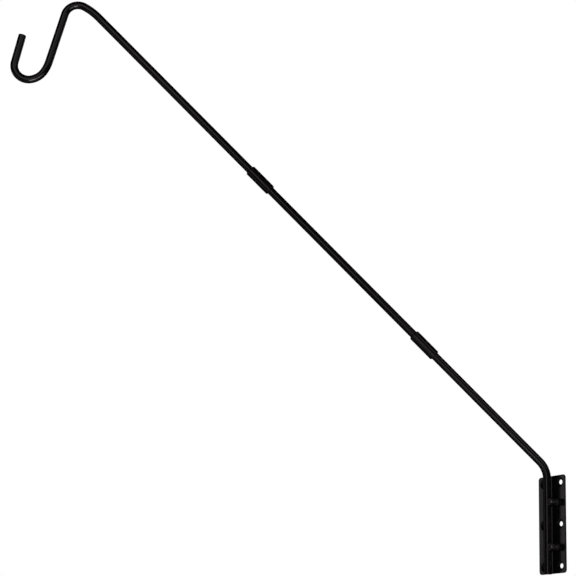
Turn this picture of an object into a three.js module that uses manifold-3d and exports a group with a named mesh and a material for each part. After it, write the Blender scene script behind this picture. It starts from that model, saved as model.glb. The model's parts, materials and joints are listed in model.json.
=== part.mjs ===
// Deck hook: a steel arm in three screwed sections that ends in a hook and stands in two strap
// clamps on a flat mounting plate. Lengths are millimetres. +Z is up, +Y points into the wall that
// the plate is screwed to, and the origin is the middle of the plate's back face.
import * as THREE from 'three';
import { mergeVertices } from 'three/addons/utils/BufferGeometryUtils.js';
import Module from 'manifold-3d';

const wasm = await Module();
wasm.setup();

// Fits
const SEAT_GAP = 0.3; // between two pieces that rest on each other
const ROD_CLEARANCE = 0.3; // all round the bar in its clamps and sleeves
const BOLT_CLEARANCE = 0.3; // all round a bolt in its holes
const CUT_OVERRUN = 2; // how far a cutter reaches past the face that it cuts

// Bar
const ROD_RADIUS = 6.35;
const ROD_TAIL = 1.2; // the bar's foot below the plate's lower edge
const ROD_END_CHAMFER = 0.7;
const THREAD_RADIUS = 4.8;
const THREAD_CHAMFER = 0.8;

// Arm
const ARM_SWING = THREE.MathUtils.degToRad(31.3); // from square to the wall, towards -X
const ARM_RISE = THREE.MathUtils.degToRad(45);
const ELBOW_RISE = 10.6; // where the arm's line meets the upright's, above the plate's top edge
const ELBOW_RADIUS = 38;
const BASE_ARM_LENGTH = 272.8; // along the arm, from the elbow's corner to the lower sleeve's middle
const MIDDLE_LENGTH = 374.4; // from the lower sleeve's middle to the upper one's
const HOOK_ARM_LENGTH = 381.2; // from the upper sleeve's middle to the start of the crown

// Hook, from the crown to the tip
const CROWN_LEAD_RADIUS = 100;
const CROWN_LEAD_TURN = THREE.MathUtils.degToRad(16.8);
const CROWN_RADIUS = 21.9;
const CROWN_TURN = THREE.MathUtils.degToRad(102.8);
const SHANK_LENGTH = 85.2;
const BOWL_LEAD_RADIUS = 60.5;
const BOWL_LEAD_TURN = THREE.MathUtils.degToRad(17);
const BOWL_RADIUS = 31.7;
const BOWL_TURN = THREE.MathUtils.degToRad(43.5);
const THROAT_RADIUS = 23.9;
const THROAT_TURN = THREE.MathUtils.degToRad(116.9);
const TIP_LENGTH = 47.6;

// Sleeves
const SLEEVE_RADIUS = 8.65;
const SLEEVE_LENGTH = 47.5;
const SLEEVE_CHAMFER = 1.4;
const SLEEVE_SOCKET_DEPTH = 6; // how far the full bar goes in before the thread
const SLEEVE_MIDDLE_GAP = 1; // between the two bars' ends

// Mounting plate
const PLATE_WIDTH = 63.5;
const PLATE_HEIGHT = 152.4;
const PLATE_THICKNESS = 2.5;
const PLATE_CORNER_RADIUS = 5;
const SCREW_HOLE_RADIUS = 3.75;
const SCREW_SINK_RADIUS = 7.5;
const SCREW_LAND = 0.5; // straight wall behind the countersink
const SCREW_SIDE_MARGIN = 11.75; // from a hole's middle to the plate's side edge
const SCREW_END_MARGIN = 11.2; // from an outer hole's middle to the plate's upper or lower edge
const SCREW_ROW_SHARES = [-1, 0, 1];

// Clamps
const CLAMP_END_MARGIN = 41.2; // from a clamp's middle to the plate's upper or lower edge
const STRAP_THICKNESS = 2;
const STRAP_WIDTH = 11;
const STRAP_GRIP = THREE.MathUtils.degToRad(10); // how far the strap's end curls past the bar's side
const EAR_SETBACK = 1; // the ear's rear face behind the bar's middle
const EAR_FILLET = 0.5; // inner radius of the bend into the ear
const LIP_ANGLE = THREE.MathUtils.degToRad(40); // where the clip ends on the bar, from its front
const SHANK_SIDE_GAP = 0.75; // between the bolt and the strap's side

// Fasteners
const BOLT_RADIUS = 3;
const BOLT_LENGTH = 13; // under the head
const BOLT_HEAD_RADIUS = 5.25;
const BOLT_HEAD_HEIGHT = 3;
const BOLT_HEAD_RIM = 0.6; // upright wall round the foot of the domed head
const BOLT_FACE_RADIUS = 2.8; // flat top of the dome, round the socket
const SOCKET_FLATS = 4;
const SOCKET_DEPTH = 1.8;
const BOLT_END_CHAMFER = 0.6;
const NUT_FLATS = 10;
const NUT_HEIGHT = 4;
const HEX_FACE_SHARE = 0.95; // width of the nut's flat end face, as a share of its flats
const HEX_CHAMFER_ANGLE = THREE.MathUtils.degToRad(30);
const WASHER_RADIUS = 5.25;
const WASHER_THICKNESS = 1;

// Fineness of round forms
const ROD_SIDES = 24;
const TURNED_SIDES = 24;
const ARC_SEGMENTS = 16;
const CORNER_SEGMENTS = 8;
const DOME_SEGMENTS = 6;
const HEX_SIDES = 6;
const BEND_STEP = THREE.MathUtils.degToRad(5);
const MERGE_TOLERANCE = 1e-4;

// Places that follow from the sizes above
const QUARTER_TURN = Math.PI / 2;
const STRAP_INNER = ROD_RADIUS + ROD_CLEARANCE;
const STRAP_OUTER = STRAP_INNER + STRAP_THICKNESS;
const PLATE_FRONT = -PLATE_THICKNESS;
const ROD_Y = PLATE_FRONT - SEAT_GAP - STRAP_OUTER;
const ELBOW_Z = PLATE_HEIGHT / 2 + ELBOW_RISE;
const SCREW_X = PLATE_WIDTH / 2 - SCREW_SIDE_MARGIN;
const SCREW_Z = PLATE_HEIGHT / 2 - SCREW_END_MARGIN;
const CLAMP_Z = PLATE_HEIGHT / 2 - CLAMP_END_MARGIN;
const NUT_BACK = PLATE_FRONT - SEAT_GAP;
const NUT_FRONT = NUT_BACK - NUT_HEIGHT;
const EAR_FRONT = EAR_SETBACK - STRAP_THICKNESS; // from the bar's middle, as the next two are
const TAB_BACK = EAR_FRONT - SEAT_GAP;
const TAB_FRONT = TAB_BACK - STRAP_THICKNESS;
const WASHER_BACK = ROD_Y + TAB_FRONT - SEAT_GAP;
const HEAD_BACK = WASHER_BACK - WASHER_THICKNESS - SEAT_GAP;
const BOLT_X = Math.max(
  STRAP_OUTER + BOLT_RADIUS + SHANK_SIDE_GAP,
  strapHalfWidth(NUT_FRONT - ROD_Y) + NUT_FLATS / 2 + SEAT_GAP,
  strapHalfWidth(WASHER_BACK - ROD_Y) + WASHER_RADIUS + SEAT_GAP,
);

const BLACK_BAR = new THREE.MeshStandardMaterial({ color: 0x1b1c1e, roughness: 0.42, metalness: 0.35 });
const BLACK_PLATE = new THREE.MeshStandardMaterial({ color: 0x18191b, roughness: 0.48, metalness: 0.35 });
const BLACK_STEEL = new THREE.MeshStandardMaterial({ color: 0x202124, roughness: 0.36, metalness: 0.6 });

// Half the strap's outer width at a distance in front of or behind the bar's middle.
function strapHalfWidth(offset) {
  return Math.sqrt(Math.max(STRAP_OUTER ** 2 - offset ** 2, 0));
}

// A closed solid from a closed geometry. Corners on a turning axis coincide, so faces that shrink
// to a line are left out.
function solidOf(geometry) {
  geometry.deleteAttribute('normal');
  geometry.deleteAttribute('uv');
  const merged = mergeVertices(geometry, MERGE_TOLERANCE);
  const corners = merged.index.array;
  const kept = [];
  for (let i = 0; i < corners.length; i += 3) {
    const [a, b, c] = corners.slice(i, i + 3);
    if (a !== b && b !== c && c !== a) kept.push(a, b, c);
  }
  return new wasm.Manifold(new wasm.Mesh({
    numProp: 3,
    vertProperties: merged.attributes.position.array,
    triVerts: Uint32Array.from(kept),
  }));
}

function geometryOf(solid) {
  const { vertProperties, triVerts } = solid.getMesh();
  const geometry = new THREE.BufferGeometry();
  geometry.setAttribute('position', new THREE.BufferAttribute(vertProperties, 3));
  geometry.setIndex(new THREE.BufferAttribute(triVerts, 1));
  geometry.computeVertexNormals();
  return geometry;
}

function piece(name, solid, material) {
  const mesh = new THREE.Mesh(geometryOf(solid), material);
  mesh.name = name;
  return mesh;
}

// A solid of revolution about +Y from points of radius and height, counter-clockwise in that plane.
function turned(points) {
  const profile = points.map(([radius, height]) => new THREE.Vector2(radius, height));
  return new THREE.LatheGeometry(profile, TURNED_SIDES);
}

function cylinderAlongY(radius, from, to) {
  const geometry = new THREE.CylinderGeometry(radius, radius, Math.abs(to - from), TURNED_SIDES);
  return geometry.translate(0, (from + to) / 2, 0);
}

// The centre line of a bar in the arm's upright plane, made of straights and arcs. x runs outwards
// and z up. It holds one station at each end of a straight and one for each step of a bend.
class BarLine extends THREE.Curve {
  constructor(x, z, heading) {
    super();
    this.stations = [{ x, z, heading }];
  }

  get end() {
    return this.stations[this.stations.length - 1];
  }

  straight(length) {
    const { x, z, heading } = this.end;
    this.stations.push({ x: x + length * Math.cos(heading), z: z + length * Math.sin(heading), heading });
    return this;
  }

  bend(radius, turn) {
    const { x, z, heading: from } = this.end;
    const reach = Math.sign(turn) * radius;
    const steps = Math.ceil(Math.abs(turn) / BEND_STEP);
    for (let i = 1; i <= steps; i += 1) {
      const heading = from + turn * i / steps;
      this.stations.push({
        x: x + reach * (Math.sin(heading) - Math.sin(from)),
        z: z - reach * (Math.cos(heading) - Math.cos(from)),
        heading,
      });
    }
    return this;
  }

  station(share) {
    return this.stations[Math.round(share * (this.stations.length - 1))];
  }

  getPointAt(share, target = new THREE.Vector3()) {
    const { x, z } = this.station(share);
    return target.set(x, 0, z);
  }

  getTangentAt(share, target = new THREE.Vector3()) {
    const { heading } = this.station(share);
    return target.set(Math.cos(heading), 0, Math.sin(heading));
  }
}

// Turns a geometry that points along +Y into the arm's plane, at a place with a heading.
function alongBar(geometry, { x, z, heading }) {
  return geometry.rotateX(QUARTER_TURN).rotateY(QUARTER_TURN - heading).translate(x, 0, z);
}

function roundBar(line) {
  const corners = Array.from({ length: ROD_SIDES }, (_, i) => {
    const angle = 2 * Math.PI * i / ROD_SIDES;
    return new THREE.Vector2(ROD_RADIUS * Math.cos(angle), ROD_RADIUS * Math.sin(angle));
  });
  const steps = line.stations.length - 1;
  return solidOf(new THREE.ExtrudeGeometry(new THREE.Shape(corners), { steps, extrudePath: line }));
}

// What a lathe takes off a bar's end: the wall outside a threaded spigot, and its end chamfer.
function threadCut() {
  const length = SLEEVE_LENGTH / 2 - SLEEVE_SOCKET_DEPTH - SLEEVE_MIDDLE_GAP / 2 + SEAT_GAP;
  return turned([
    [THREAD_RADIUS, -length],
    [ROD_RADIUS + CUT_OVERRUN, -length],
    [ROD_RADIUS + CUT_OVERRUN, CUT_OVERRUN],
    [THREAD_RADIUS - THREAD_CHAMFER - CUT_OVERRUN, CUT_OVERRUN],
    [THREAD_RADIUS, -THREAD_CHAMFER],
    [THREAD_RADIUS, -length],
  ]);
}

function chamferCut(radius, chamfer) {
  return turned([
    [radius + CUT_OVERRUN, -chamfer - CUT_OVERRUN],
    [radius + CUT_OVERRUN, CUT_OVERRUN],
    [radius - chamfer - CUT_OVERRUN, CUT_OVERRUN],
    [radius + CUT_OVERRUN, -chamfer - CUT_OVERRUN],
  ]);
}

// A place on the arm's straight line, measured from the elbow's corner.
function onArm(distance) {
  return {
    x: distance * Math.cos(ARM_RISE),
    z: ELBOW_Z + distance * Math.sin(ARM_RISE),
    heading: ARM_RISE,
  };
}

const LOWER_SLEEVE_AT = BASE_ARM_LENGTH;
const UPPER_SLEEVE_AT = LOWER_SLEEVE_AT + MIDDLE_LENGTH;

function baseRod() {
  const corner = ELBOW_RADIUS * Math.tan((QUARTER_TURN - ARM_RISE) / 2);
  const foot = { x: 0, z: -PLATE_HEIGHT / 2 - ROD_TAIL, heading: -QUARTER_TURN };
  const line = new BarLine(foot.x, foot.z, QUARTER_TURN)
    .straight(ELBOW_Z - foot.z - corner)
    .bend(ELBOW_RADIUS, ARM_RISE - QUARTER_TURN)
    .straight(LOWER_SLEEVE_AT - SLEEVE_MIDDLE_GAP / 2 - corner);
  return roundBar(line)
    .subtract(solidOf(alongBar(chamferCut(ROD_RADIUS, ROD_END_CHAMFER), foot)))
    .subtract(solidOf(alongBar(threadCut(), line.end)));
}

function middleRod() {
  const start = onArm(LOWER_SLEEVE_AT + SLEEVE_MIDDLE_GAP / 2);
  const line = new BarLine(start.x, start.z, start.heading).straight(MIDDLE_LENGTH - SLEEVE_MIDDLE_GAP);
  return roundBar(line)
    .subtract(solidOf(alongBar(threadCut(), { ...start, heading: start.heading + Math.PI })))
    .subtract(solidOf(alongBar(threadCut(), line.end)));
}

function hookRod() {
  const start = onArm(UPPER_SLEEVE_AT + SLEEVE_MIDDLE_GAP / 2);
  const line = new BarLine(start.x, start.z, start.heading)
    .straight(HOOK_ARM_LENGTH - SLEEVE_MIDDLE_GAP / 2)
    .bend(CROWN_LEAD_RADIUS, -CROWN_LEAD_TURN)
    .bend(CROWN_RADIUS, -CROWN_TURN)
    .straight(SHANK_LENGTH)
    .bend(BOWL_LEAD_RADIUS, BOWL_LEAD_TURN)
    .bend(BOWL_RADIUS, BOWL_TURN)
    .bend(THROAT_RADIUS, THROAT_TURN)
    .straight(TIP_LENGTH);
  return roundBar(line)
    .subtract(solidOf(alongBar(threadCut(), { ...start, heading: start.heading + Math.PI })))
    .subtract(solidOf(alongBar(chamferCut(ROD_RADIUS, ROD_END_CHAMFER), line.end)));
}

// A round sleeve with a socket for the full bar at each end and a threaded bore between them.
function sleeve(distance) {
  const half = SLEEVE_LENGTH / 2;
  const socket = ROD_RADIUS + ROD_CLEARANCE;
  const bore = THREAD_RADIUS + ROD_CLEARANCE;
  const socketFloor = half - SLEEVE_SOCKET_DEPTH;
  const geometry = turned([
    [SLEEVE_RADIUS - SLEEVE_CHAMFER, -half],
    [SLEEVE_RADIUS, -half + SLEEVE_CHAMFER],
    [SLEEVE_RADIUS, half - SLEEVE_CHAMFER],
    [SLEEVE_RADIUS - SLEEVE_CHAMFER, half],
    [socket, half],
    [socket, socketFloor],
    [bore, socketFloor],
    [bore, -socketFloor],
    [socket, -socketFloor],
    [socket, -half],
    [SLEEVE_RADIUS - SLEEVE_CHAMFER, -half],
  ]);
  return solidOf(alongBar(geometry, onArm(distance)));
}

// The flat plate stands on its back face, y from 0 to the front.
function mountingPlate() {
  const right = PLATE_WIDTH / 2 - PLATE_CORNER_RADIUS;
  const top = PLATE_HEIGHT / 2 - PLATE_CORNER_RADIUS;
  const outline = new THREE.Shape();
  outline.absarc(right, top, PLATE_CORNER_RADIUS, 0, QUARTER_TURN);
  outline.absarc(-right, top, PLATE_CORNER_RADIUS, QUARTER_TURN, Math.PI);
  outline.absarc(-right, -top, PLATE_CORNER_RADIUS, Math.PI, Math.PI + QUARTER_TURN);
  outline.absarc(right, -top, PLATE_CORNER_RADIUS, Math.PI + QUARTER_TURN, 2 * Math.PI);
  const sheet = new THREE.ExtrudeGeometry(outline, {
    depth: PLATE_THICKNESS,
    bevelEnabled: false,
    curveSegments: CORNER_SEGMENTS,
  }).rotateX(QUARTER_TURN);
  let plate = solidOf(sheet);
  for (const side of [-1, 1]) {
    for (const row of SCREW_ROW_SHARES) {
      plate = plate.subtract(solidOf(screwHoleCut().translate(side * SCREW_X, 0, row * SCREW_Z)));
    }
  }
  return plate;
}

// A countersunk screw hole through the plate, widest at the front.
function screwHoleCut() {
  const flare = (SCREW_SINK_RADIUS - SCREW_HOLE_RADIUS) / (PLATE_THICKNESS - SCREW_LAND);
  return turned([
    [0, -CUT_OVERRUN],
    [SCREW_HOLE_RADIUS, -CUT_OVERRUN],
    [SCREW_HOLE_RADIUS, SCREW_LAND],
    [SCREW_SINK_RADIUS + flare * CUT_OVERRUN, PLATE_THICKNESS + CUT_OVERRUN],
    [0, PLATE_THICKNESS + CUT_OVERRUN],
  ]).rotateZ(Math.PI);
}

// A strip profile in the level plane, bent about the bar's middle, made one strap wide. Its free
// end is rounded about the bolt, and the bolt's hole goes through it.
function clampStrip(profile) {
  const strip = new THREE.ExtrudeGeometry(profile, {
    depth: STRAP_WIDTH,
    bevelEnabled: false,
    curveSegments: ARC_SEGMENTS,
  }).translate(0, ROD_Y, -STRAP_WIDTH / 2);
  const half = STRAP_WIDTH / 2;
  const inner = -STRAP_OUTER - CUT_OVERRUN;
  const outline = new THREE.Shape();
  outline.moveTo(inner, -half - CUT_OVERRUN);
  outline.lineTo(BOLT_X, -half - CUT_OVERRUN);
  outline.lineTo(BOLT_X, -half);
  outline.absarc(BOLT_X, 0, half, -QUARTER_TURN, QUARTER_TURN);
  outline.lineTo(BOLT_X, half + CUT_OVERRUN);
  outline.lineTo(inner, half + CUT_OVERRUN);
  const depth = -ROD_Y + STRAP_OUTER + CUT_OVERRUN;
  const rounded = new THREE.ExtrudeGeometry(outline, { depth, bevelEnabled: false, curveSegments: ARC_SEGMENTS })
    .rotateX(QUARTER_TURN);
  const hole = cylinderAlongY(BOLT_RADIUS + BOLT_CLEARANCE, -depth, 0).translate(BOLT_X, 0, 0);
  return solidOf(strip).intersect(solidOf(rounded)).subtract(solidOf(hole));
}

// The strap curls round the bar's rear from just past its left side to its right side, and turns
// out into the ear.
function backStrap() {
  const end = BOLT_X + STRAP_WIDTH / 2;
  const reach = STRAP_OUTER + EAR_FILLET;
  const bend = EAR_FILLET + STRAP_THICKNESS;
  const bendY = EAR_SETBACK + EAR_FILLET;
  const leave = Math.asin(bendY / reach);
  const bendX = reach * Math.cos(leave);
  const gripEnd = Math.PI + STRAP_GRIP;
  const profile = new THREE.Shape();
  profile.absarc(0, 0, STRAP_OUTER, gripEnd, leave, true);
  profile.absarc(bendX, bendY, EAR_FILLET, Math.PI + leave, Math.PI + QUARTER_TURN);
  profile.lineTo(end, EAR_SETBACK);
  profile.lineTo(end, EAR_FRONT);
  profile.absarc(bendX, bendY, bend, -QUARTER_TURN, leave - Math.PI, true);
  profile.absarc(0, 0, STRAP_INNER, leave, gripEnd);
  profile.closePath();
  return clampStrip(profile);
}

// The clip lies on the ear, and its lip reaches over the bar's front shoulder.
function frontClip() {
  const end = BOLT_X + STRAP_WIDTH / 2;
  const lipEnd = LIP_ANGLE - QUARTER_TURN;
  const profile = new THREE.Shape();
  profile.absarc(0, 0, STRAP_INNER, lipEnd, Math.asin(TAB_BACK / STRAP_INNER));
  profile.lineTo(end, TAB_BACK);
  profile.lineTo(end, TAB_FRONT);
  profile.absarc(0, 0, STRAP_OUTER, Math.asin(TAB_FRONT / STRAP_OUTER), lipEnd, true);
  profile.closePath();
  return clampStrip(profile);
}

// A hexagonal prism along Y with two of its flats upright.
function hexPrism(flats, front, back) {
  const corner = flats / Math.sqrt(3);
  return new THREE.CylinderGeometry(corner, corner, back - front, HEX_SIDES).translate(0, (front + back) / 2, 0);
}

// A low domed head with a hexagon socket, and a plain shank with a chamfered end.
function clampBolt() {
  const front = HEAD_BACK - BOLT_HEAD_HEIGHT;
  const tip = HEAD_BACK + BOLT_LENGTH;
  const dome = Array.from({ length: DOME_SEGMENTS + 1 }, (_, i) => {
    const turn = QUARTER_TURN * i / DOME_SEGMENTS;
    return [
      BOLT_FACE_RADIUS + (BOLT_HEAD_RADIUS - BOLT_FACE_RADIUS) * Math.sin(turn),
      front + (BOLT_HEAD_HEIGHT - BOLT_HEAD_RIM) * (1 - Math.cos(turn)),
    ];
  });
  const bolt = turned([
    [0, front],
    ...dome,
    [BOLT_HEAD_RADIUS, HEAD_BACK],
    [BOLT_RADIUS, HEAD_BACK],
    [BOLT_RADIUS, tip - BOLT_END_CHAMFER],
    [BOLT_RADIUS - BOLT_END_CHAMFER, tip],
    [0, tip],
  ]);
  const socket = hexPrism(SOCKET_FLATS, front - CUT_OVERRUN, front + SOCKET_DEPTH);
  return solidOf(bolt).subtract(solidOf(socket));
}

// A hexagon whose corners are turned off at both ends, with a plain bore.
function clampNut() {
  const face = HEX_FACE_SHARE * NUT_FLATS / 2;
  const rim = NUT_FLATS / Math.sqrt(3) + BOLT_CLEARANCE;
  const rise = (rim - face) * Math.tan(HEX_CHAMFER_ANGLE);
  const crown = turned([
    [0, NUT_FRONT],
    [face, NUT_FRONT],
    [rim, NUT_FRONT + rise],
    [rim, NUT_BACK - rise],
    [face, NUT_BACK],
    [0, NUT_BACK],
  ]);
  const bore = cylinderAlongY(BOLT_RADIUS + BOLT_CLEARANCE, NUT_FRONT - CUT_OVERRUN, NUT_BACK + CUT_OVERRUN);
  return solidOf(hexPrism(NUT_FLATS, NUT_FRONT, NUT_BACK)).intersect(solidOf(crown)).subtract(solidOf(bore));
}

function clampWasher() {
  const bore = BOLT_RADIUS + BOLT_CLEARANCE;
  const front = WASHER_BACK - WASHER_THICKNESS;
  return solidOf(turned([
    [bore, front],
    [WASHER_RADIUS, front],
    [WASHER_RADIUS, WASHER_BACK],
    [bore, WASHER_BACK],
    [bore, front],
  ]));
}

// One clamp: strap and clip round the bar, and the bolt beside it with its washer and nut.
function clamp(prefix, height) {
  const group = new THREE.Group();
  group.position.z = height;
  group.add(piece(`${prefix}_back_strap`, backStrap(), BLACK_PLATE));
  group.add(piece(`${prefix}_front_clip`, frontClip(), BLACK_PLATE));
  const fasteners = new THREE.Group();
  fasteners.position.x = BOLT_X;
  fasteners.add(piece(`${prefix}_clamp_bolt`, clampBolt(), BLACK_STEEL));
  fasteners.add(piece(`${prefix}_clamp_washer`, clampWasher(), BLACK_STEEL));
  fasteners.add(piece(`${prefix}_clamp_nut`, clampNut(), BLACK_STEEL));
  group.add(fasteners);
  return group;
}

// The arm's own group turns about the upright bar, so that its plane leaves the wall at its swing.
function arm() {
  const group = new THREE.Group();
  group.position.y = ROD_Y;
  group.rotation.z = -QUARTER_TURN - ARM_SWING;
  group.add(piece('base_rod', baseRod(), BLACK_BAR));
  group.add(piece('lower_coupling', sleeve(LOWER_SLEEVE_AT), BLACK_BAR));
  group.add(piece('middle_rod', middleRod(), BLACK_BAR));
  group.add(piece('upper_coupling', sleeve(UPPER_SLEEVE_AT), BLACK_BAR));
  group.add(piece('hook_rod', hookRod(), BLACK_BAR));
  return group;
}

const deckHook = new THREE.Group();
deckHook.add(piece('mounting_plate', mountingPlate(), BLACK_PLATE));
deckHook.add(clamp('upper', CLAMP_Z));
deckHook.add(clamp('lower', -CLAMP_Z));
deckHook.add(arm());

export default deckHook;
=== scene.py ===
"""Deck hook in black coated steel: its surfaces, finishes, light and camera.

A steel arm in three screwed sections ends in a hook and stands in two strap clamps on a flat
mounting plate. Sizes are millimetres, as on a drawing, and a mesh goes into metres when it is made.
+Z is up, +Y points into the wall, and the origin is the middle of the plate's back face.
"""

import sys
import json
import logging
import math
from dataclasses import dataclass, field, fields, replace
from enum import Enum
from functools import cache
from itertools import product

import bmesh
import bpy
import numpy as np
from mathutils import Matrix, Vector

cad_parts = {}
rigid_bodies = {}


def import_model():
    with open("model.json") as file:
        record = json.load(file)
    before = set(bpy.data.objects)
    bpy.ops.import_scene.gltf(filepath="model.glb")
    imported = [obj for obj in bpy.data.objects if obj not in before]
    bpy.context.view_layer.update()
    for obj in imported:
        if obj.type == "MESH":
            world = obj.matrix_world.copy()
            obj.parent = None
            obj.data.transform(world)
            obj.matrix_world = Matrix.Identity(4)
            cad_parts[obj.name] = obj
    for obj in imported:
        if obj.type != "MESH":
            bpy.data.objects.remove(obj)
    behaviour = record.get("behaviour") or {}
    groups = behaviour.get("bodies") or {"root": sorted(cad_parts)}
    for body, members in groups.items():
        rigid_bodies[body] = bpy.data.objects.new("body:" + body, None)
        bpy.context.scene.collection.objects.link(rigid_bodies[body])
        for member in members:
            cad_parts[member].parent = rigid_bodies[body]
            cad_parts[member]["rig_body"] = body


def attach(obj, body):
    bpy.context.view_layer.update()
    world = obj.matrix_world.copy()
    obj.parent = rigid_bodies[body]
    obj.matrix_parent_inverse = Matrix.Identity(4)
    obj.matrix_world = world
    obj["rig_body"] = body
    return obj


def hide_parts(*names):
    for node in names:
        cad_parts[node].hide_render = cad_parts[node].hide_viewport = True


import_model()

log = logging.getLogger("deck_hook")

MILLIMETRE = 0.001
WELD = 2e-6  # metres; points closer than this are one point
NEAR = 1e-4  # millimetres; lengths closer than this are equal
TINY = 1e-9  # stands for zero in a divisor
TURN = 2 * math.pi
QUARTER = math.pi / 2
WEAR = "wear"  # point attribute: 1 on a rounded edge, 0 on an open face
ANGLE_DIGITS = 7  # decimal places to which directions are told apart
GUARD = 0.12  # flat strip beside a rounding, which keeps the face flat in shading
FACE_SHARES = (1.0, 0.98, 0.7, 0.4, 0.15)  # rows of a pierced face, from its border to its hole

# Sizes that several sub-assemblies share
SEAT_GAP = 0.3
CLEARANCE = 0.3
BAR_RADIUS = 6.35
PLATE_THICKNESS = 2.5
PLATE_HEIGHT = 152.4
CLAMP_INSET = 41.2  # from an end of the plate to the middle of a clamp
STRAP_THICKNESS = 2.0
STRAP_INNER = BAR_RADIUS + CLEARANCE
STRAP_OUTER = STRAP_INNER + STRAP_THICKNESS
BAR_Y = -(PLATE_THICKNESS + SEAT_GAP + STRAP_OUTER)

Pair = tuple[float, float]
Triple = tuple[float, float, float]
Arrays = tuple[np.ndarray, np.ndarray]


class BarEnd(Enum):
    """How a section of the bar ends."""

    CHAMFERED = "chamfered"
    THREADED = "threaded"


class Row(Enum):
    """Rows of screw holes in the mounting plate."""

    LOWER = -1
    MIDDLE = 0
    UPPER = 1


# ---------------------------------------------------------------------------- lines and planes


def unit(vectors: np.ndarray) -> np.ndarray:
    """Vectors made one long, along the last axis."""
    return vectors / np.linalg.norm(vectors, axis=-1, keepdims=True)


def even_angles(count: int) -> np.ndarray:
    """Angles round a full turn, evenly spaced."""
    return np.arange(count) * TURN / count


def stepped(place: np.ndarray, heading: float, curvature: float, gone: np.ndarray | float) -> Arrays:
    """Place and heading at a distance into a straight or an arc.

    At d into a stretch of curvature k, the heading has turned by k d, and the place is a chord
    of d sin(k d / 2) / (k d / 2) away, in the mean of the two headings.

    Args:
        place: where the stretch starts.
        heading: its direction there, in radians.
        curvature: its curvature, positive to the left.
        gone: distances into it, as an array or a number.

    Returns:
        Places, with a last axis of two, and headings.
    """
    mean, chord = heading + curvature * gone / 2, gone * np.sinc(curvature * gone / TURN)
    step = np.stack([chord * np.cos(mean), chord * np.sin(mean)], axis=-1)
    return place + step, heading + curvature * gone


@dataclass(frozen=True)
class CentreLine:
    """Straights and arcs laid end to end in a plane.

    Attributes:
        place: where the line starts.
        heading: its direction there, in radians.
        stretches: length and curvature of each stretch, a curvature to the left being positive.
    """

    place: Pair
    heading: float
    stretches: tuple[Pair, ...] = ()

    def straight(self, length: float) -> "CentreLine":
        """The line with a straight added at its end."""
        return replace(self, stretches=(*self.stretches, (length, 0.0)))

    def bend(self, radius: float, degrees: float) -> "CentreLine":
        """The line with an arc added at its end, to the left if degrees are positive."""
        length = radius * math.radians(abs(degrees))
        return replace(self, stretches=(*self.stretches, (length, math.copysign(1 / radius, degrees))))

    @property
    def length(self) -> float:
        """Length of the whole line."""
        return sum(length for length, _ in self.stretches)

    def stations(self, straight_step: float = 20.0, bend_step: float = 1.5) -> np.ndarray:
        """Distances for the rings of a form carried along the line.

        Args:
            straight_step: most millimetres between two rings of a straight.
            bend_step: most degrees between two rings of an arc.

        Returns:
            Distances from the line's start, both ends included.
        """
        marks, start = [np.zeros(1)], 0.0
        for length, curvature in self.stretches:
            turn = math.degrees(abs(curvature) * length)
            count = max(1, math.ceil(turn / bend_step if curvature else length / straight_step))
            marks.append(start + length * np.arange(1, count + 1) / count)
            start += length
        return np.concatenate(marks)

    def at(self, distance: np.ndarray) -> Arrays:
        """Places and headings at distances along the line.

        The first and last stretches run on past their ends.

        Args:
            distance: distances from the line's start, in an array of any shape.

        Returns:
            Places, with a last axis of two, and headings, in the shape of distance.
        """
        places, headings = np.empty((*distance.shape, 2)), np.empty(distance.shape)
        place, heading, done = np.array(self.place, float), self.heading, 0.0
        here = np.full(distance.shape, True)
        for length, curvature in self.stretches:
            places[here], headings[here] = stepped(place, heading, curvature, distance[here] - done)
            place, heading = stepped(place, heading, curvature, length)
            done += length
            here = distance >= done
        return places, headings


@dataclass(frozen=True)
class Plane:
    """A drawing plane in space, with its normal along the first direction times the second."""

    origin: Triple
    along: Triple
    across: Triple

    def points(self, along: np.ndarray, across: np.ndarray, out: np.ndarray) -> np.ndarray:
        """Points in space: the origin plus a step in each direction of the plane and out of it.

        Args:
            along: steps in the first direction.
            across: steps in the second direction.
            out: steps along the normal.

        Returns:
            Points, with a last axis of three.
        """
        axes = np.array([self.along, self.across, np.cross(self.along, self.across)])
        steps = np.stack(np.broadcast_arrays(along, across, out), axis=-1)
        return np.array(self.origin) + steps @ axes

    def carried(
        self, line: CentreLine, distance: np.ndarray, left: np.ndarray, out: np.ndarray
    ) -> np.ndarray:
        """A section carried along a line.

        Each point is the line's place at its distance, plus a step to the line's left and a step
        out of the plane.

        Args:
            line: centre line in the plane.
            distance: distances along it, one for each point or row.
            left: steps to the left.
            out: steps along the plane's normal.

        Returns:
            Points, with a last axis of three.
        """
        places, headings = line.at(distance)
        along = places[..., 0] - left * np.sin(headings)
        across = places[..., 1] + left * np.cos(headings)
        return self.points(along, across, out)


WALL = Plane((0, 0, 0), (1, 0, 0), (0, 0, 1))  # its normal points out of the wall


# ---------------------------------------------------------------------------- sections and shells


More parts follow.
